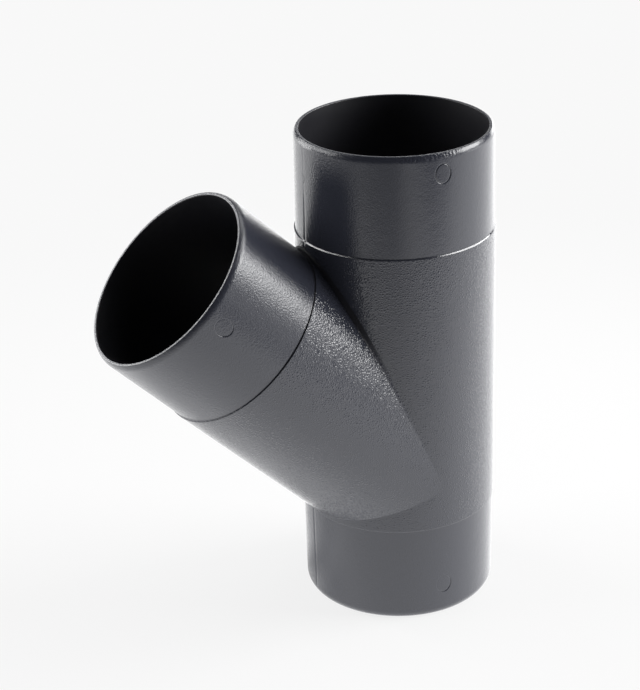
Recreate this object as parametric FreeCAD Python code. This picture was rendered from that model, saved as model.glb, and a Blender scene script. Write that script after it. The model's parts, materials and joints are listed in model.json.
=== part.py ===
"""Lateral wye duct fitting, moulded in one piece: a straight run, a leaning branch and three plain spigots.

Millimetres. The origin is at the centre of the lower mouth, on the face that the fitting stands on.
+Z goes up along the run's axis. The branch leans towards -X in the XZ plane, which is also the plane
of the mould's parting line, and -Y is the front.
"""
import FreeCAD, Part
import math
import os

V = FreeCAD.Vector

# Driving dimensions of the three spigots, which are alike
spigot_diameter = 100.0
spigot_length = 51.5
wall = 3.0
# Each mouth: the outside curves in over the last stretch and leaves a narrow flat land with rounded edges
lead_in_length = 3.5
mouth_land = 1.5
mouth_edge_radius = 0.5

# Driving dimensions of the body between the spigots
body_step = 0.8
branch_angle = 45.0
# What is left of the body's wall between the steps and the two ends of the seam of run and branch:
# its heel, where the branch's underside leaves the run, and its crotch, at the top of the valley
heel_above_step = 1.0
crotch_below_step = 6.3
crotch_to_branch_step = 2.3

# The blend in the sharp valley between run and branch, from one of its ends round to the other
crotch_radius = 0.9
blend_sink = 0.02
blend_end_angle = 82.0
blend_sections = 33
blend_depth_factor = 1.2

# Fine oval grooves left round the mould's inserts, one on the front of each spigot
mark_height = 9.8
mark_width = 8.2
mark_line = 0.5
mark_depth = 0.25
upper_mark_inset = 10.2
lower_mark_inset = 17.2
branch_mark_inset = 12.1

# Worked out from the dimensions above
spigot_radius = spigot_diameter / 2
bore_radius = spigot_radius - wall
body_radius = spigot_radius + body_step
lead_in_depth = wall - mouth_land
nose_radius = (lead_in_length ** 2 + lead_in_depth ** 2) / (2 * lead_in_depth)
nose_sweep = math.asin((lead_in_length - mouth_edge_radius) / (nose_radius - mouth_edge_radius))
lean = math.radians(branch_angle)
half_lean = lean / 2
heel_drop = body_radius * math.tan(half_lean)
crotch_rise = body_radius / math.tan(half_lean)
low_step = spigot_length
crossing_height = low_step + heel_above_step + heel_drop
high_step = crossing_height + crotch_rise + crotch_below_step
run_length = high_step + spigot_length
branch_step = crotch_rise + crotch_to_branch_step
branch_reach = branch_step + spigot_length
ball_end_angle = (blend_end_angle + 90) / 2
overshoot = spigot_diameter
same_place = 0.01

up = V(0, 0, 1)
front = V(0, -1, 0)
crossing = V(0, 0, crossing_height)
branch_axis = V(-math.sin(lean), 0, math.cos(lean))
valley_axis = V(-math.sin(half_lean), 0, math.cos(half_lean))
mitre_normal = V(math.cos(half_lean), 0, math.sin(half_lean))


def spigot_outline(step_height, mouth_height):
    """Edges of a spigot's half section in the XZ plane, from the body's wall to the middle of its mouth."""
    outward = 1 if mouth_height > step_height else -1
    nose_centre = V(spigot_radius - nose_radius, 0, mouth_height - outward * lead_in_length)
    to_edge = V(math.cos(nose_sweep), 0, outward * math.sin(nose_sweep))
    edge_centre = nose_centre + to_edge * (nose_radius - mouth_edge_radius)

    def on_arc(centre, radius, angle):
        return centre + V(math.cos(angle), 0, outward * math.sin(angle)) * radius

    corner = V(spigot_radius, 0, step_height)
    nose = [on_arc(nose_centre, nose_radius, share * nose_sweep) for share in (0, 0.5, 1)]
    quarter = math.pi / 2
    edge_turns = (nose_sweep, (nose_sweep + quarter) / 2, quarter)
    edge = [on_arc(edge_centre, mouth_edge_radius, turn) for turn in edge_turns]
    return [
        Part.LineSegment(V(body_radius, 0, step_height), corner).toShape(),
        Part.LineSegment(corner, nose[0]).toShape(),
        Part.Arc(*nose).toShape(),
        Part.Arc(*edge).toShape(),
        Part.LineSegment(edge[-1], V(0, 0, mouth_height)).toShape(),
    ]


def turned(edges):
    """Solid of revolution about Z from the edges of a closed half section."""
    section = Part.Face(Part.Wire(Part.__sortEdges__(edges)))
    return section.revolve(V(0, 0, 0), up, 360)


def run_outside():
    """The run without its bore: lower spigot, body and upper spigot."""
    body_side = Part.LineSegment(V(body_radius, 0, low_step), V(body_radius, 0, high_step)).toShape()
    axis = Part.LineSegment(V(0, 0, 0), V(0, 0, run_length)).toShape()
    return turned(spigot_outline(low_step, 0) + spigot_outline(high_step, run_length) + [body_side, axis])


def in_branch(shape):
    """A shape made about +Z, moved to the branch: its origin goes to the crossing and it leans over."""
    shape = shape.copy()
    shape.rotate(V(0, 0, 0), front, branch_angle)
    shape.translate(crossing)
    return shape


def branch_outside():
    """The branch without its bore, from the crossing of the axes to its mouth."""
    body_side = Part.LineSegment(V(body_radius, 0, 0), V(body_radius, 0, branch_step)).toShape()
    inner_end = Part.LineSegment(V(0, 0, 0), V(body_radius, 0, 0)).toShape()
    axis = Part.LineSegment(V(0, 0, 0), V(0, 0, branch_reach)).toShape()
    return in_branch(turned(spigot_outline(branch_step, branch_reach) + [body_side, inner_end, axis]))


def crotch_blend():
    """Filling of the sharp valley, with the hollow that a ball leaves as it rolls along both walls.

    The ball's centre keeps to an ellipse in the mitre plane. It is a little nearer to the walls than
    the ball's radius, so the hollow's edges sink into them, and where the valley opens out at the
    sides the hollow ends below both.
    """
    reach = crotch_radius - blend_sink
    path_radius = body_radius + reach
    path_top = crossing + valley_axis * (path_radius / math.sin(half_lean))
    path = Part.Ellipse(path_top, crossing + V(0, path_radius, 0), crossing)

    ball_end = math.radians(ball_end_angle)
    track_line = Part.ArcOfEllipse(path, -ball_end, ball_end)
    ball_rim = Part.Circle(track_line.value(-ball_end), track_line.tangent(-ball_end)[0], crotch_radius)
    rim_wire = Part.Wire([ball_rim.toShape()])
    ball_track = Part.Wire([track_line.toShape()]).makePipeShell([rim_wire], True, False)

    # Triangles from the ball's centre straight into both walls, deep enough to hold the corner between
    depth = blend_depth_factor * reach / math.sin(half_lean) ** 2
    blend_end = math.radians(blend_end_angle)
    sections = []
    for i in range(blend_sections):
        angle = blend_end * (2 * i / (blend_sections - 1) - 1)
        centre = path.value(angle)
        from_run = V(-math.cos(angle), math.sin(angle), 0)
        from_branch = from_run - mitre_normal * (2 * from_run.dot(mitre_normal))
        corners = [centre, centre - from_run * depth, centre - from_branch * depth, centre]
        sections.append(Part.makePolygon(corners))
    return Part.makeLoft(sections, True, True).cut(ball_track)


def bores():
    """The duct's inside: the run's bore right through, and the branch's from the crossing outwards."""
    run_bore = Part.makeCylinder(bore_radius, run_length + 2 * overshoot, V(0, 0, -overshoot), up)
    branch_bore = Part.makeCylinder(bore_radius, branch_reach + overshoot, crossing, branch_axis)
    return run_bore.fuse(branch_bore)


def bore_edges(shape):
    """The three circles where the bores come out of the mouths."""
    mouths = [V(0, 0, 0), V(0, 0, run_length), crossing + branch_axis * branch_reach]
    found = []
    for edge in shape.Edges:
        if not isinstance(edge.Curve, Part.Circle):
            continue
        at_mouth = any(edge.Curve.Center.distanceToPoint(mouth) < same_place for mouth in mouths)
        if at_mouth and abs(edge.Curve.Radius - bore_radius) < same_place:
            found.append(edge)
    return found


def insert_mark(height):
    """Oval groove in the front of a spigot about +Z, as deep at its sides as at its top and bottom."""
    middle = V(0, -spigot_radius - overshoot, height)

    def oval(grow):
        tall = mark_height / 2 + grow
        wide = mark_width / 2 + grow
        curve = Part.Ellipse(middle + V(0, 0, tall), middle + V(wide, 0, 0), middle)
        return Part.Face(Part.Wire([curve.toShape()])).extrude(V(0, spigot_radius + overshoot, 0))

    ring = oval(mark_line / 2).cut(oval(-mark_line / 2))
    floor_radius = spigot_radius - mark_depth
    floor = Part.makeCylinder(floor_radius, run_length + 2 * overshoot, V(0, 0, -overshoot), up)
    return ring.cut(floor)


def wye_body():
    """The whole fitting as one solid."""
    outside = run_outside().fuse([branch_outside(), crotch_blend()])
    body = outside.cut(bores())
    body = body.makeFillet(mouth_edge_radius, bore_edges(body))
    marks = [
        insert_mark(lower_mark_inset),
        insert_mark(run_length - upper_mark_inset),
        in_branch(insert_mark(branch_reach - branch_mark_inset)),
    ]
    return body.cut(marks)


os.makedirs("parts", exist_ok=True)
body = wye_body()
print("wye_body: valid", body.isValid(), "solids", len(body.Solids))
print("overall height", round(run_length, 3), "crossing at", round(crossing_height, 3), "mm")
print("upper step at", round(high_step, 3), "branch step at", round(branch_step, 3), "mm")
body.Solids[0].exportStep("parts/wye_body.step")
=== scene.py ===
"""Looks of the lateral wye fitting: the moulded skin, its plastic, the light and the camera.

Metres, in the part's own frame: +Z up along the run, the branch leans towards -X, and -Y is the front.
A turn is an angle round a pipe: 0 on the side where run and branch meet, 90 degrees at the front.
An inset is how far a point lies from its mouth, measured along the pipe into the fitting.
"""
import json
import math

import bmesh
import bpy
import numpy as np
from mathutils import Matrix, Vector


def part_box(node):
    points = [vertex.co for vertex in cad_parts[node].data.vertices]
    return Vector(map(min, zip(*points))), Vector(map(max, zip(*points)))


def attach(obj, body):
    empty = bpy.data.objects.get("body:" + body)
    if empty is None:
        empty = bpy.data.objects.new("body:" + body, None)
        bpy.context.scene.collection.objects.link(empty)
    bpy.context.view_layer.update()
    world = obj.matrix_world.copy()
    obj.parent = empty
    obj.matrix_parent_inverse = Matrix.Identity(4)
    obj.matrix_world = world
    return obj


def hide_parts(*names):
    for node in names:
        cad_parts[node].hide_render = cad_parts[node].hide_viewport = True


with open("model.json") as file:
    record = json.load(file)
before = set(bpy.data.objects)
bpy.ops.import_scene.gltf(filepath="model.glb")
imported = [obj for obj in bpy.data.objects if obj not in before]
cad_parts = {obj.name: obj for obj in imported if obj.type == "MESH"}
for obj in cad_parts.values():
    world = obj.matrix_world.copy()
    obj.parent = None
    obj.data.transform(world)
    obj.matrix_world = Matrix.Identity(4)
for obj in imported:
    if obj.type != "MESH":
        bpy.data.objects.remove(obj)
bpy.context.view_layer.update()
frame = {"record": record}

MM = 0.001
QUARTER = math.pi / 2

# The fitting's sizes, as its mounts and its box give them
mounts = {mount["name"]: mount for mount in frame["record"]["mounts"]}
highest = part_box("wye_body")[1]
run_length = highest.z
body_radius = highest.y
spigot_radius = mounts["lower_spigot"]["dims"]["r_mm"] * MM
bore_radius = mounts["run_bore"]["dims"]["r_mm"] * MM
straight_wall = mounts["lower_spigot"]["dims"]["length_mm"] * MM
lead_in = mounts["lower_spigot"]["pos_m"][2] - straight_wall / 2
spigot_length = lead_in + straight_wall
branch_axis = np.array(mounts["branch_spigot"]["axis"])
branch_wall_middle = np.array(mounts["branch_spigot"]["pos_m"])
branch_wall_reach = branch_wall_middle[0] / branch_axis[0]
crossing = branch_wall_middle - branch_wall_reach * branch_axis
branch_reach = branch_wall_reach + straight_wall / 2 + lead_in
half_lean = math.acos(branch_axis[2]) / 2

# Each pipe has a start on its axis, the axis and the direction of turn 0
up = np.array([0.0, 0.0, 1.0])
front = np.array([0.0, -1.0, 0.0])
branch_zero = np.array([branch_axis[2], 0.0, -branch_axis[0]])
run_pipe = (np.zeros(3), up, np.array([-1.0, 0.0, 0.0]))
branch_pipe = (crossing, branch_axis, branch_zero)

# Each arm has a pipe, its mouth's place along the pipe, and the direction in which the mouth opens
arms = {
    "lower": (run_pipe, 0.0, -1),
    "upper": (run_pipe, run_length, 1),
    "branch": (branch_pipe, branch_reach, 1),
}

# Fine forms of the mouths, the walls and the step up to the body
mouth_land = 1.5 * MM
mouth_edge = 0.5 * MM
draft = 0.2 * MM
step_slope = math.radians(50.0)
corner_radius = 0.2 * MM

# The hollow in the valley grows from the crotch down the seam
crotch_radius = 0.9 * MM
crotch_growth = 3.0 * MM

# The oval insert marks: opposite its deep side, each has only its least share of the depth
mark_height = 9.8 * MM
mark_width = 8.2 * MM
mark_line = 0.8 * MM
mark_depth = 0.32 * MM
mark_insets = {"lower": 17.2 * MM, "upper": 10.2 * MM, "branch": 12.1 * MM}
mark_least = {"lower": 0.12, "upper": 0.7, "branch": 0.15}
mark_deep_side = {"lower": math.radians(-40), "upper": 0.0, "branch": math.radians(60)}

# The parting line: between the mouth and its start it has only a faint share of its depth
parting_width = 0.5 * MM
parting_depth = 0.12 * MM
parting_starts = {"lower": 0.0, "upper": 26.0 * MM, "branch": 26.0 * MM}
parting_fade = 2.0 * MM
parting_faint = 0.3

# Small traces on the upper spigot: ripples in the mouth's edge, and a crescent by the parting line
ripple_start = -22.0 * MM
ripple_end = 10.0 * MM
ripple_blur = 2.0 * MM
ripple_stretch = 0.15
ripple_size = 1.3 * MM
ripple_height = 0.38 * MM
scar_centre = (-spigot_radius, 1.6 * MM, run_length - 19.4 * MM)
scar_reach = 2.6 * MM
scar_line = 0.3 * MM
scar_ends = (0.8 * MM, -0.2 * MM)
scar_depth = 0.25 * MM

# The skin's grid: its columns follow the turn, and each mark has a finer field of its own
column_angle = math.radians(2.0)
parting_columns = 4
field_columns = 20
field_rows = 22
field_half_turn = math.radians(6.0)
field_half_height = 6.0 * MM
support = 0.3 * MM
bore_edge_rows = 6
land_edge_rows = 5
nose_rows = 9
rows_to_field = 4
rows_past_field = 10
slope_shares = np.array([[0.1], [0.9]])
corner_rows = 4
hollow_rows = 12
line_rings = 10
inner_ring_shares = np.array([0.0, 0.25, 0.5, 0.75, 0.92])
border_shares = np.array([[1], [2], [3]]) / 3
bore_rows = {"lower": 12, "upper": 24, "branch": 28}
body_rows = {"lower": 12, "upper": 44, "branch": 44}
join_distance = 0.002 * MM
thinnest_edge = 0.0001 * MM
sharp_angle = math.radians(50)
least_opening = 1e-6
tiny = 1e-9

# The plastic's colour outside, a darker copy of it as painted shade inside the bore and at the crotch, and
# the share of gloss of plain plastic
plastic_base = (0.0265, 0.0285, 0.039, 1)
painted_shade_base = (0.009, 0.009, 0.012, 1)
plain_gloss = 0.5
plastic_ior = 1.5

# The materials of the skin, in the order of their slots
SATIN, GRAINED, BORE, VALLEY, STEP = range(5)

# The studio
camera_azimuth = math.radians(-25.438)
floor_white = 0.94
white = (1, 1, 1, 1)


def level_direction(azimuth):
    """The level direction (sin a, -cos a, 0): 0 is the front, and a quarter turn is +X."""
    return np.array([math.sin(azimuth), -math.cos(azimuth), 0.0])


def arc(centre, radius, start, end, steps):
    """Points centre + radius (cos a, sin a), for a from start to end in even steps."""
    a = np.linspace(start, end, steps + 1)
    return np.stack([centre[0] + radius * np.cos(a), centre[1] + radius * np.sin(a)], axis=1)


def divided(stops, steps):
    """Even steps between each two stops in turn, each stop written once."""
    parts = [np.linspace(a, b, n + 1)[1:] for a, b, n in zip(stops, stops[1:], steps)]
    return np.concatenate([[stops[0]]] + parts)


def column_turns():
    """The turns of the grid's columns: even, but closer in the marks' field and across the parting line."""
    line = parting_width / 2 / spigot_radius
    stops = [0.0, line, QUARTER - field_half_turn, QUARTER + field_half_turn,
             math.pi - line, math.pi + line, 2 * math.pi - line, 2 * math.pi]
    steps = [max(2, round((b - a) / column_angle)) for a, b in zip(stops, stops[1:])]
    steps[2] = field_columns
    steps[4] = parting_columns
    return divided(stops, steps)[:-1]


turns = column_turns()
field_first = int(np.argmin(abs(turns - (QUARTER - field_half_turn))))


def on_pipe(pipe, radius, turn, along):
    """Points start + along axis + radius (cos turn zero + sin turn front), with zero the pipe's turn 0."""
    start, axis, zero = pipe
    side = np.cos(turn)[..., None] * zero + np.sin(turn)[..., None] * front
    return start + along[..., None] * axis + radius[..., None] * side


def valley_rise(radius, facing):
    """How far past the crossing the valley's seam lies: radius facing / tan(half the lean).

    Facing is the cosine of the turn, and where it is below 0 the seam stays at the crossing.
    """
    return radius * np.clip(facing, 0, None) / math.tan(half_lean)


def heel_reach(radius, facing):
    """How far from the crossing the heel's seam lies: radius facing tan(half the lean), or 0 past it."""
    return radius * np.clip(facing, 0, None) * math.tan(half_lean)


def ball_radius(turn):
    """The radius of the hollow in the valley: the crotch's own, plus the growth times sin^2 of the turn."""
    return crotch_radius + crotch_growth * np.sin(turn) ** 2


def straight_radius(inset):
    """The spigot's radius with draft: it widens evenly by twice the draft from the lead-in to the step."""
    share = (inset - lead_in) / straight_wall
    return spigot_radius - draft + 2 * draft * share


def parting_groove(inset, start, first, last):
    """How deep the parting line is sunk: depth cos^2(pi d / width) at a distance d across it.

    It is fainter from the mouth to the inset where it starts, and runs from its first row to its last.
    """
    row = np.arange(len(inset))[:, None]
    away = np.abs((turns + QUARTER) % math.pi - QUARTER) * spigot_radius
    across = np.where(away < parting_width / 2, np.cos(math.pi * away / parting_width) ** 2, 0)
    share = np.clip((inset - start) / parting_fade, 0, 1)
    along = parting_faint + (1 - parting_faint) * share
    return parting_depth * across * along * ((row >= first) & (row < last))


def mouth_profile():
    """Radius and inset of a mouth, from the bore's wall over the land and the nose to the straight wall.

    Three arcs: the bore's edge, the land's outer edge, and the nose, which runs into the wall. The nose's
    radius is (lead-in^2 + depth^2) / (2 depth), and it touches the land's edge where their angles agree.
    """
    wall_radius = spigot_radius - draft
    nose_depth = wall_radius - bore_radius - mouth_land
    nose_radius = (lead_in ** 2 + nose_depth ** 2) / (2 * nose_depth)
    nose_centre = (wall_radius - nose_radius, lead_in)
    edge_reach = nose_radius - mouth_edge
    sweep = math.asin((lead_in - mouth_edge) / edge_reach)
    edge_centre = (nose_centre[0] + edge_reach * math.cos(sweep), mouth_edge)
    bore_edge_centre = (bore_radius + mouth_edge, mouth_edge)
    bore_edge = arc(bore_edge_centre, mouth_edge, 2 * QUARTER, 3 * QUARTER, bore_edge_rows)
    land_edge = arc(edge_centre, mouth_edge, -QUARTER, -sweep, land_edge_rows)
    nose = arc(nose_centre, nose_radius, -sweep, 0, nose_rows)
    return np.concatenate([bore_edge, land_edge, nose[1:]])


def wall_profile(mark_inset):
    """Radius and inset of the straight wall: a line with draft, in closer rows along the mark's field."""
    stops = [lead_in, lead_in + support, mark_inset - field_half_height, mark_inset + field_half_height,
             spigot_length - support, spigot_length]
    insets = divided(stops, [1, rows_to_field, field_rows, rows_past_field, 1])[1:]
    return np.stack([straight_radius(insets), insets], axis=1)


def step_profile(wall_end):
    """Radius and inset of the step: a sloping line up from the wall's end, and an arc into the body's wall.

    The slope's run is its rise / tan(slope), and it ends where the arc starts at the same angle.
    """
    rise = body_radius - corner_radius * (1 - math.cos(step_slope)) - wall_end[0]
    corner_inset = spigot_length + rise / math.tan(step_slope) + corner_radius * math.sin(step_slope)
    corner_centre = (body_radius - corner_radius, corner_inset)
    corner = arc(corner_centre, corner_radius, -step_slope, 0, corner_rows)
    slope = wall_end + slope_shares * (corner[0] - wall_end)
    return np.concatenate([slope, corner])


def arm_skin(name, bore_start, body_start):
    """One arm's skin as a grid of rows and turns, with the rows where its mark and its materials start.

    A profile of radius and inset from the mouth, turned about the pipe's axis. Its first row lies on the
    bore's seam and its last on the body's seam, each given as a distance along the axis for every turn.
    Between, the bore is divided evenly, and so is the body, but for a support row at each of its ends.
    """
    pipe, mouth, outward = arms[name]
    mouth_rows = mouth_profile()
    wall_rows = wall_profile(mark_insets[name])
    step_rows = step_profile(wall_rows[-1])
    profile = np.concatenate([mouth_rows, wall_rows, step_rows])
    fixed_radius = np.repeat(profile[:, :1], len(turns), axis=1)
    fixed_along = mouth - outward * np.repeat(profile[:, 1:], len(turns), axis=1)
    bore_share = np.linspace(0, 1, bore_rows[name] + 1)[:-1, None]
    bore_along = bore_start + (fixed_along[0] - bore_start) * bore_share
    body_length = abs(fixed_along[-1] - body_start)
    near_end = np.minimum(support, body_length / 4) / np.maximum(body_length, tiny)
    even = np.linspace(0, 1, body_rows[name] + 1)[:, None]
    body_share = np.concatenate([near_end + (1 - 2 * near_end) * even, np.ones((1, len(turns)))])
    body_along = fixed_along[-1] + (body_start - fixed_along[-1]) * body_share
    bore = np.full_like(bore_along, bore_radius)
    body = np.full_like(body_along, body_radius)
    radius = np.concatenate([bore, fixed_radius, body])
    along = np.concatenate([bore_along, fixed_along, body_along])
    wall_row = bore_rows[name] + len(mouth_rows)
    groove = parting_groove(outward * (mouth - along), parting_starts[name], wall_row, len(radius) - 2)
    points = on_pipe(pipe, radius - groove, np.broadcast_to(turns, radius.shape), along)
    step_row = wall_row + len(wall_rows) - 1
    starts = {
        "spigot": bore_rows[name] + bore_edge_rows // 2,
        "mark": wall_row + rows_to_field,
        "step": step_row,
        "body": step_row + 1 + len(slope_shares) + corner_rows // 2,
    }
    return points, starts


def grid_quads(rows, columns, closed):
    """Corner numbers of a grid's quads, row by row; a closed grid joins its last column to its first."""
    last = columns if closed else columns - 1
    row, column = np.meshgrid(np.arange(rows - 1), np.arange(last), indexing="ij")
    beside = (column + 1) % columns
    corners = [row * columns + column, row * columns + beside,
               (row + 1) * columns + beside, (row + 1) * columns + column]
    return np.stack(corners, axis=-1)


def field_border():
    """The border of a mark's field, once round from a corner: turns and rises from the field's middle."""
    side_turn = np.linspace(-1, 1, field_columns + 1) * field_half_turn
    side_rise = np.linspace(-1, 1, field_rows + 1) * field_half_height
    bottom = np.stack([side_turn[:-1], np.full(field_columns, -field_half_height)])
    right = np.stack([np.full(field_rows, field_half_turn), side_rise[:-1]])
    top = np.stack([side_turn[:0:-1], np.full(field_columns, field_half_height)])
    left = np.stack([np.full(field_rows, -field_half_turn), side_rise[:0:-1]])
    return np.concatenate([bottom, right, top, left], axis=1)


def mark_field(name):
    """The field round an insert mark: rings from its middle over the oval groove to the field's border.

    The ring at distance d from the oval is ((width / 2 + d) cos t, (height / 2 + d) sin t), and it is
    lowered by depth cos^2(pi d / line) within half a line of the oval. The groove is deepest at its deep
    side, where cos(t - deep side) is 1. Outside, the rings turn to the border in even steps.
    """
    pipe, mouth, outward = arms[name]
    border = field_border()
    t = np.arctan2(border[1] / mark_height, border[0] * spigot_radius / mark_width)
    offsets = np.concatenate([np.linspace(-1, 1, line_rings + 1) * mark_line / 2, [mark_line]])
    wide = mark_width / 2 + offsets
    tall = mark_height / 2 + offsets
    wide = np.concatenate([inner_ring_shares * wide[0], wide])
    tall = np.concatenate([inner_ring_shares * tall[0], tall])
    ring_turn = wide[:, None] * np.cos(t) / spigot_radius
    ring_rise = tall[:, None] * np.sin(t)
    outer_turn = ring_turn[-1] + (border[0] - ring_turn[-1]) * border_shares
    outer_rise = ring_rise[-1] + (border[1] - ring_rise[-1]) * border_shares
    turn = QUARTER + np.concatenate([ring_turn, outer_turn])
    inset = mark_insets[name] + np.concatenate([ring_rise, outer_rise])

    groove = mark_depth * np.cos(math.pi * offsets / mark_line) ** 2
    groove = np.where(abs(offsets) <= mark_line / 2, groove, 0)
    groove = np.concatenate([0 * inner_ring_shares, groove, np.zeros(len(border_shares))])
    least = mark_least[name]
    around = least + (1 - least) * (0.5 + 0.5 * np.cos(t - mark_deep_side[name])) ** 2
    radius = straight_radius(inset) - groove[:, None] * around
    return on_pipe(pipe, radius, turn, mouth - outward * inset)


def crotch_skin():
    """The hollow in the valley, as a ball leaves it that touches both walls: an arc at each of the turns.

    The ball's centre is off both walls by its radius, and its arc goes from one wall's contact to the
    other's, by spherical interpolation between the two directions.
    """
    turn = np.sort((turns[np.cos(turns) > -tiny] + math.pi) % (2 * math.pi) - math.pi)
    ball = ball_radius(turn)[:, None]
    centre_radius = body_radius + ball
    from_run = np.cos(turn)[:, None] * run_pipe[2] + np.sin(turn)[:, None] * front
    from_branch = np.cos(turn)[:, None] * branch_zero + np.sin(turn)[:, None] * front
    rise = centre_radius * np.cos(turn)[:, None] / math.tan(half_lean)
    centre = crossing + centre_radius * from_run + rise * up
    opening = np.arccos(np.clip(np.sum(from_run * from_branch, axis=1), -1, 1))
    w = np.linspace(0, 1, hollow_rows + 1)[:, None]
    flat = opening < least_opening
    safe = np.where(flat, 1.0, opening)
    run_share = np.where(flat, 1 - w, np.sin((1 - w) * safe) / np.sin(safe))
    branch_share = np.where(flat, w, np.sin(w * safe) / np.sin(safe))
    toward = run_share[..., None] * from_run + branch_share[..., None] * from_branch
    return centre - ball * toward


def seams():
    """Where each arm's bore and body start: their places along the pipe's axis, for every turn.

    The upper arm starts at the crossing plus the valley's rise, and the lower at the crossing less the
    heel's reach. The branch starts at the sum of both, of which one is 0 at every turn.
    """
    facing = np.cos(turns)
    level = crossing[2]
    bore_valley = valley_rise(bore_radius, facing)
    body_valley = valley_rise(body_radius + ball_radius(turns), facing)
    bore_heel = heel_reach(bore_radius, -facing)
    body_heel = heel_reach(body_radius, -facing)
    return {
        "lower": (level - heel_reach(bore_radius, facing), level - heel_reach(body_radius, facing)),
        "upper": (level + bore_valley, level + body_valley),
        "branch": (bore_valley + bore_heel, body_valley + body_heel),
    }


def build_skin():
    """All arms, the marks and the crotch as one closed mesh, with a material number for every face.

    The grids are written one after another, and points closer than the join distance become one. The
    branch's step has the valley's material: dull, with painted shade near the crotch. The run's two steps
    are glossier.
    """
    grids = []
    for name, (bore_start, body_start) in seams().items():
        points, starts = arm_skin(name, bore_start, body_start)
        rows, columns = points.shape[:2]
        quads = grid_quads(rows, columns, True)
        row_kind = np.full(rows - 1, SATIN)
        row_kind[:starts["spigot"]] = BORE
        # The branch's step takes the valley's material, with its painted shade near the crotch
        row_kind[starts["step"]:starts["body"]] = VALLEY if name == "branch" else STEP
        row_kind[starts["body"]:] = GRAINED
        kind = np.broadcast_to(row_kind[:, None], quads.shape[:2])
        kept = np.ones(quads.shape[:2], bool)
        kept[starts["mark"]:starts["mark"] + field_rows, field_first:field_first + field_columns] = False
        grids.append((points, quads[kept], kind[kept]))
        field = mark_field(name)
        grids.append((field, grid_quads(*field.shape[:2], True), SATIN))
    crotch = crotch_skin()
    grids.append((crotch, grid_quads(*crotch.shape[:2], False), VALLEY))

    vertices = [points.reshape(-1, 3) for points, quads, kind in grids]
    firsts = np.cumsum([0] + [len(points) for points in vertices])
    faces = [quads.reshape(-1, 4) + first for (points, quads, kind), first in zip(grids, firsts)]
    kinds = [np.broadcast_to(kind, quads.shape[:-1]).reshape(-1) for points, quads, kind in grids]
    mesh = bpy.data.meshes.new("wye_skin")
    mesh.from_pydata(np.concatenate(vertices).tolist(), [], np.concatenate(faces).tolist())
    mesh.polygons.foreach_set("material_index", np.concatenate(kinds).astype(np.int32))
    work = bmesh.new()
    work.from_mesh(mesh)
    bmesh.ops.remove_doubles(work, verts=work.verts, dist=join_distance)
    bmesh.ops.dissolve_degenerate(work, edges=work.edges, dist=thinnest_edge)
    bmesh.ops.recalc_face_normals(work, faces=work.faces)
    work.to_mesh(mesh)
    work.free()
    mesh.shade_smooth()
    mesh.set_sharp_from_angle(angle=sharp_angle)
    skin = bpy.data.objects.new("wye_skin", mesh)
    bpy.context.scene.collection.objects.link(skin)
    return skin


class Wire:
    """An output socket of a node, used in sums: each operator on it adds its Math node."""

    def __init__(self, socket):
        self.socket = socket

    def add(self, kind, settings=None, sockets=None, output=0):
        """A new node in the same tree: its settings first, then its sockets."""
        return make_node(self.socket.id_data, kind, settings, sockets, output)

    def math(self, operation, *values):
        """A Math node on some values or wires."""
        return self.add("ShaderNodeMath", {"operation": operation}, dict(enumerate(values)))

    def vector_math(self, operation, second=None, output="Vector"):
        """A Vector Math node on this wire and, where it takes one, a second value or wire."""
        sockets = {0: self} if second is None else {0: self, 1: second}
        return self.add("ShaderNodeVectorMath", {"operation": operation}, sockets, output)

    def __add__(self, other):
        return self.math("ADD", self, other)

    def __radd__(self, other):
        return self.math("ADD", other, self)

    def __sub__(self, other):
        return self.math("SUBTRACT", self, other)

    def __rsub__(self, other):
        return self.math("SUBTRACT", other, self)

    def __mul__(self, other):
        return self.math("MULTIPLY", self, other)

    def __rmul__(self, other):
        return self.math("MULTIPLY", other, self)

    def __abs__(self):
        return self.math("ABSOLUTE", self)


def make_node(tree, kind, settings=None, sockets=None, output=0):
    """Adds a node: its settings first, then the values or wires of its sockets."""
    node = tree.nodes.new(kind)
    for name, value in (settings or {}).items():
        setattr(node, name, value)
    for name, value in (sockets or {}).items():
        if isinstance(value, Wire):
            tree.links.new(value.socket, node.inputs[name])
        else:
            node.inputs[name].default_value = value
    return Wire(node.outputs[output]) if node.outputs else node


def new_material(name):
    """An empty material with its object coordinates."""
    material = bpy.data.materials.new(name)
    material.use_nodes = True
    material.node_tree.nodes.clear()
    place = make_node(material.node_tree, "ShaderNodeTexCoord", output="Object")
    return material, place


def finish_material(surface):
    """The material's output."""
    surface.add("ShaderNodeOutputMaterial", None, {"Surface": surface})


def along_axis(place, axis):
    """One coordinate of a point: X, Y or Z."""
    return place.add("ShaderNodeSeparateXYZ", None, {"Vector": place}, axis)


def ramp(value, start, end, interpolation="SMOOTHSTEP"):
    """0 at start and 1 at end. Between them it rises as t^2 (3 - 2 t), or straight where that is asked."""
    settings = {"interpolation_type": interpolation}
    return value.add("ShaderNodeMapRange", settings, {"Value": value, "From Min": start, "From Max": end})


def fine_noise(place, size, detail=2.0):
    """Noise about 0, with bumps of a size in metres."""
    sockets = {"Vector": place, "Scale": 1 / size, "Detail": detail}
    return place.add("ShaderNodeTexNoise", None, sockets, "Fac") - 0.5


def shifted(place, size, reach):
    """The coordinates, pushed about by a noise of a size, by up to about half of reach each way."""
    sockets = {"Vector": place, "Scale": 1 / size, "Detail": 1.0}
    push = place.add("ShaderNodeTexNoise", None, sockets, "Color")
    centred = push.vector_math("SUBTRACT", (0.5, 0.5, 0.5))
    return place.vector_math("ADD", centred.vector_math("MULTIPLY", (reach, reach, reach)))


def plastic_surface(base, roughness, height, gloss=plain_gloss):
    """The plastic's shader over a relief, which is a height in metres, with a share of gloss."""
    normal = height.add("ShaderNodeBump", None, {"Height": height, "Strength": 1.0, "Distance": 1.0})
    sockets = {
        "Base Color": base, "Roughness": roughness, "Normal": normal, "IOR": plastic_ior,
        "Specular IOR Level": gloss}
    return height.add("ShaderNodeBsdfPrincipled", None, sockets)


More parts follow.
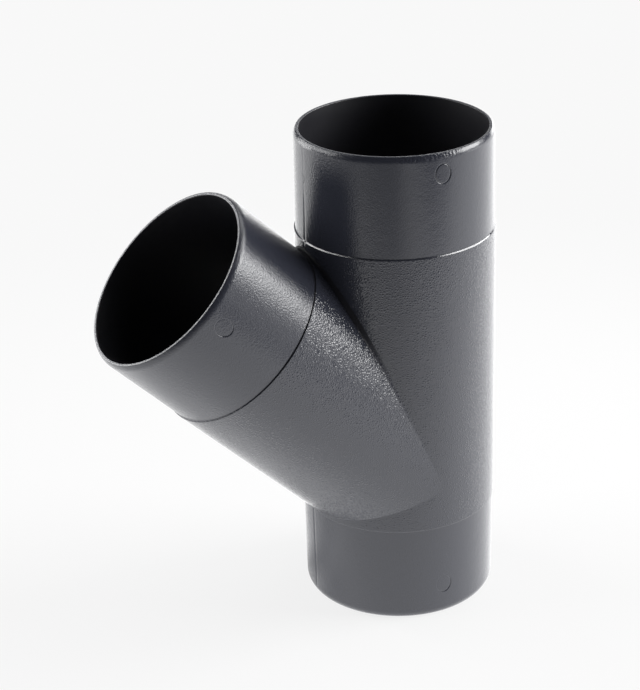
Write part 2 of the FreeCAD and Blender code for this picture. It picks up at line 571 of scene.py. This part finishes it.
def grained_surface(place):
    """Black plastic with a fine leather grain: flat pebbles, a little wavy, with soft creases between.

    The height is a wave of noise, less the crease's depth along the edges between the cells of a pattern
    whose coordinates are pushed about a little. A crease fades out at its width, in shares of a pebble.
    """
    pebble = 1.2 * MM
    crease_depth = 0.12 * MM
    crease_width = 0.5
    bend_size = 2.2 * MM
    bend = 0.5 * MM
    wave_size = 3.5 * MM
    wave_height = 0.05 * MM
    roughness = 0.11
    sockets = {"Vector": shifted(place, bend_size, bend), "Scale": 1 / pebble}
    edges = place.add("ShaderNodeTexVoronoi", {"feature": "DISTANCE_TO_EDGE"}, sockets, "Distance")
    crease = 1 - ramp(edges, 0.0, crease_width)
    height = fine_noise(place, wave_size) * wave_height - crease * crease_depth
    return plastic_surface(plastic_base, roughness, height)


def grained_plastic():
    """The body's material."""
    material, place = new_material("grained_plastic")
    finish_material(grained_surface(place))
    return material


def mouth_ripples(place):
    """A few short upright ripples in the rounded edge of the upper mouth, a little right of its middle.

    Noise, stretched along z, times its height, within soft bounds in x, above the lead-in and at the front.
    """
    x, y, z = [along_axis(place, axis) for axis in "XYZ"]
    after_start = ramp(x, ripple_start - ripple_blur, ripple_start + ripple_blur)
    before_end = ramp(x, ripple_end + ripple_blur, ripple_end - ripple_blur)
    on_edge = ramp(z, run_length - lead_in, run_length - lead_in / 2)
    inside = after_start * before_end * on_edge * ramp(y, 0.0, -ripple_blur)
    stretched = place.vector_math("MULTIPLY", (1, 1, ripple_stretch))
    return fine_noise(stretched, ripple_size) * inside * ripple_height


def parting_scar(place):
    """The depth of a small crescent beside the parting line of the upper spigot.

    A groove along the circle at its reach from its centre, which ends softly just behind the parting line.
    """
    away = place.vector_math("DISTANCE", scar_centre, "Value")
    crescent = 1 - ramp(abs(away - scar_reach), 0.0, scar_line)
    return crescent * ramp(along_axis(place, "Y"), *scar_ends) * scar_depth


def satin_plastic():
    """The same black plastic where the mould was polished: satin, finely mottled and a little uneven.

    The height is a sum of three noises, of which the finest is higher on the branch, the ripples and
    the scar.
    """
    mottle_size = 0.8 * MM
    run_mottle = 0.07 * MM
    branch_mottle = 0.16 * MM
    branch_side = (-20 * MM, -45 * MM)
    pit_size = 1.8 * MM
    pit_height = 0.03 * MM
    wave_size = 6.0 * MM
    wave_height = 0.06 * MM
    roughness = 0.20
    material, place = new_material("satin_plastic")
    mottle = run_mottle + (branch_mottle - run_mottle) * ramp(along_axis(place, "X"), *branch_side)
    height = fine_noise(place, mottle_size) * mottle
    height = height + fine_noise(place, pit_size, 1.0) * pit_height
    height = height + fine_noise(place, wave_size, 1.0) * wave_height
    height = height + mouth_ripples(place) - parting_scar(place)
    finish_material(plastic_surface(plastic_base, roughness, height))
    return material


def valley_plastic():
    """The hollow between run and branch: dull at the crotch and darkened there as painted shade, and
    grained further down the seam.
    """
    painted_shade_from = crossing[2] + 65 * MM
    painted_shade_above = crossing[2] + 95 * MM
    dull_roughness = 0.6
    dull_gloss = 0.15
    mottle_size = 0.8 * MM
    mottle_height = 0.1 * MM
    material, place = new_material("valley_plastic")
    height = fine_noise(place, mottle_size) * mottle_height
    # Painted shade: the dark colour at the crotch, which fades to the grained plastic down the seam
    dull = plastic_surface(painted_shade_base, dull_roughness, height, dull_gloss)
    painted_shade_at_crotch = ramp(along_axis(place, "Z"), painted_shade_from, painted_shade_above)
    sockets = {0: painted_shade_at_crotch, 1: grained_surface(place), 2: dull}
    finish_material(place.add("ShaderNodeMixShader", None, sockets))
    return material


def step_plastic():
    """The narrow step, where the mould's edge is cleanly cut: smooth and glossier."""
    wave_size = 4.0 * MM
    wave_height = 0.04 * MM
    roughness = 0.17
    gloss = 1.0
    material, place = new_material("step_plastic")
    height = fine_noise(place, wave_size) * wave_height
    finish_material(plastic_surface(plastic_base, roughness, height, gloss))
    return material


def bore_plastic():
    """The inside of the duct, smooth from the core of the mould, its colour darkened as painted shade."""
    mottle_size = 0.9 * MM
    mottle_height = 0.02 * MM
    wave_size = 7.0 * MM
    wave_height = 0.06 * MM
    roughness = 0.4
    material, place = new_material("bore_plastic")
    height = fine_noise(place, mottle_size) * mottle_height
    height = height + fine_noise(place, wave_size, 1.0) * wave_height
    # Painted shade: the bore takes a darker colour than the same plastic outside
    finish_material(plastic_surface(painted_shade_base, roughness, height))
    return material


def floor_glow(place):
    """How strongly the floor lights the fitting: a near glow, plus a patch, less a loss and two painted
    shadows.

    It is strongest close by, a little stronger to the right and in a patch there towards the camera, and
    it fades further towards the camera. It is dimmer at the far right, and it is darkened as painted shadow
    of the fitting under the branch's back and in a spot left of the foot. Each patch is a product of ramps.
    """
    far_glow = 0.48
    near_glow = 1.93
    near_bounds = (0.70, 0.16)
    right_gain = 0.36
    right_bounds = (0.0, 0.4)
    patch_glow = 0.5
    patch_front = (0.36, 0.46)
    patch_left = (-0.02, 0.16)
    patch_right = (0.42, 0.30)
    edge_loss = 0.45
    edge_bounds = (0.36, 0.50)
    under_shadow_depth = 0.6
    under_front = (0.0, 0.035)
    under_left = (-0.20, -0.14)
    under_right = (-0.02, -0.05)
    foot_shadow_depth = 0.6
    foot_spot = (-0.055, 0.012, 0)
    foot_bounds = (0.045, 0.015)
    toward = place.vector_math("DOT_PRODUCT", tuple(level_direction(camera_azimuth)), "Value")
    aside = place.vector_math("DOT_PRODUCT", tuple(level_direction(camera_azimuth + QUARTER)), "Value")
    near = ramp(toward, *near_bounds)
    right = ramp(aside, *right_bounds, "LINEAR")
    patch = ramp(toward, *patch_front) * ramp(aside, *patch_left) * ramp(aside, *patch_right)
    edge = ramp(aside, *edge_bounds)
    x = along_axis(place, "X")
    # Painted shadows of the fitting in the floor's glow: under the branch's back, and left of the foot
    under = ramp(along_axis(place, "Y"), *under_front) * ramp(x, *under_left) * ramp(x, *under_right)
    painted_shadow_at_foot = ramp(place.vector_math("DISTANCE", foot_spot, "Value"), *foot_bounds)
    glow = (far_glow + (near_glow - far_glow) * near) * (1 + right_gain * right)
    return glow + patch_glow * patch - edge_loss * edge - under_shadow_depth * under - foot_shadow_depth * painted_shadow_at_foot


def add_floor():
    """A plain pale table, level with the mouth that the fitting stands on, and lit from below.

    The camera sees it white, with the fitting's soft shadow close to the foot. Other rays see its glow.
    """
    half = 4.0
    shadow_share = 0.15
    shadow_bounds = (0.60, 0.12)
    pale = (0.9, 0.9, 0.9, 1)
    corners = [(-half, -half, 0), (half, -half, 0), (half, half, 0), (-half, half, 0)]
    mesh = bpy.data.meshes.new("floor")
    mesh.from_pydata(corners, [], [(0, 1, 2, 3)])
    floor = bpy.data.objects.new("floor", mesh)
    bpy.context.scene.collection.objects.link(floor)
    material, place = new_material("pale_floor")
    glow = place.add("ShaderNodeEmission", None, {"Color": floor_glow(place), "Strength": 1.0})
    plain = place.add("ShaderNodeEmission", None, {"Color": white, "Strength": floor_white})
    lit = place.add("ShaderNodeBsdfDiffuse", None, {"Color": pale})
    share = shadow_share * ramp(place.vector_math("LENGTH", output="Value"), *shadow_bounds)
    seen = place.add("ShaderNodeMixShader", None, {0: share, 1: plain, 2: lit})
    camera_ray = place.add("ShaderNodeLightPath", output="Is Camera Ray")
    finish_material(place.add("ShaderNodeMixShader", None, {0: camera_ray, 1: glow, 2: seen}))
    mesh.materials.append(material)


def add_world():
    """Dim surroundings that the camera sees as white."""
    dim = 0.035
    world = bpy.data.worlds.new("studio")
    bpy.context.scene.world = world
    world.use_nodes = True
    tree = world.node_tree
    tree.nodes.clear()
    camera_ray = make_node(tree, "ShaderNodeLightPath", output="Is Camera Ray")
    strength = dim + (floor_white - dim) * camera_ray
    glow = make_node(tree, "ShaderNodeBackground", None, {"Color": white, "Strength": strength})
    make_node(tree, "ShaderNodeOutputWorld", None, {"Surface": glow})


def placed(right, above, back, position):
    """The matrix of a lamp or a camera at a position: right and above are its sides, and back its back."""
    matrix = np.eye(4)
    matrix[:3, 0] = right
    matrix[:3, 1] = above
    matrix[:3, 2] = back
    matrix[:3, 3] = position
    return Matrix(matrix.tolist())


def rolled(right, above, angle):
    """Two directions turned in their plane: cos right + sin above, and -sin right + cos above."""
    return (math.cos(angle) * right + math.sin(angle) * above,
            -math.sin(angle) * right + math.cos(angle) * above)


def add_softbox(name, turn, elevation, power, width=0.7, height=0.7, tilt=0.0):
    """A softbox that faces the fitting, at a turn to the camera's right and an elevation in degrees.

    Its tilt, in degrees, turns it about the line to the fitting.
    """
    distance = 1.6
    target = np.array([-0.03, 0.0, 0.13])
    azimuth = camera_azimuth + math.radians(turn)
    rise = math.radians(elevation)
    back = level_direction(azimuth) * math.cos(rise) + up * math.sin(rise)
    right = level_direction(azimuth + QUARTER)
    right, above = rolled(right, np.cross(back, right), math.radians(tilt))
    lamp = bpy.data.lights.new(name, "AREA")
    lamp.shape = "RECTANGLE"
    lamp.size = width
    lamp.size_y = height
    lamp.energy = power
    softbox = bpy.data.objects.new(name, lamp)
    bpy.context.scene.collection.objects.link(softbox)
    softbox.matrix_world = placed(right, above, back, target + back * distance)


def add_camera():
    """The camera of the photograph, from its angles about the fitting, its distance and its lens.

    The lens is as long as its focal length in pixels, over the picture's width, times the sensor's width.
    """
    elevation = math.radians(24.927)
    roll = math.radians(-1.745)
    target = np.array([-43.688, 0.0, 144.178]) * MM
    distance = 1001.228 * MM
    focal_pixels = 1975.463
    picture_width = 640
    sensor_width = 36.0
    nearest = 0.01
    furthest = 20.0
    back = level_direction(camera_azimuth) * math.cos(elevation) + up * math.sin(elevation)
    right = level_direction(camera_azimuth + QUARTER)
    right, above = rolled(right, np.cross(back, right), roll)
    lens = bpy.data.cameras.new("camera")
    lens.sensor_fit = "HORIZONTAL"
    lens.sensor_width = sensor_width
    lens.lens = focal_pixels / picture_width * sensor_width
    lens.clip_start = nearest
    lens.clip_end = furthest
    camera = bpy.data.objects.new("camera", lens)
    bpy.context.scene.collection.objects.link(camera)
    camera.matrix_world = placed(right, above, back, target + back * distance)
    bpy.context.scene.camera = camera


skin = build_skin()
for made in (satin_plastic(), grained_plastic(), bore_plastic(), valley_plastic(), step_plastic()):
    skin.data.materials.append(made)
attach(skin, "root")
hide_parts("wye_body")

add_floor()
add_world()
add_softbox("right_key", turn=94.5, elevation=25, power=27.0, width=0.95)
add_softbox("right_strip", turn=112, elevation=43.5, power=10.0, width=1.6, height=0.15, tilt=-45)
add_softbox("right_low", turn=94.5, elevation=5, power=4.9, width=0.95)
add_softbox("right_front_low", turn=60, elevation=5, power=2.4)
add_softbox("left_key", turn=270, elevation=25, power=8.5)
add_softbox("left_strip", turn=248, elevation=43.5, power=7.0, width=1.6, height=0.15, tilt=45)
add_softbox("left_rear_low", turn=240, elevation=5, power=9.3)
add_softbox("left_rear", turn=240, elevation=25, power=4.2)
add_softbox("right_rear_low", turn=150, elevation=5, power=6.0)
add_softbox("right_rear_high", turn=150, elevation=50, power=4.5)
add_softbox("rear_low", turn=180, elevation=5, power=1.8)
add_softbox("rear", turn=180, elevation=25, power=0.6)
add_camera()
bpy.context.scene.view_settings.view_transform = "Standard"
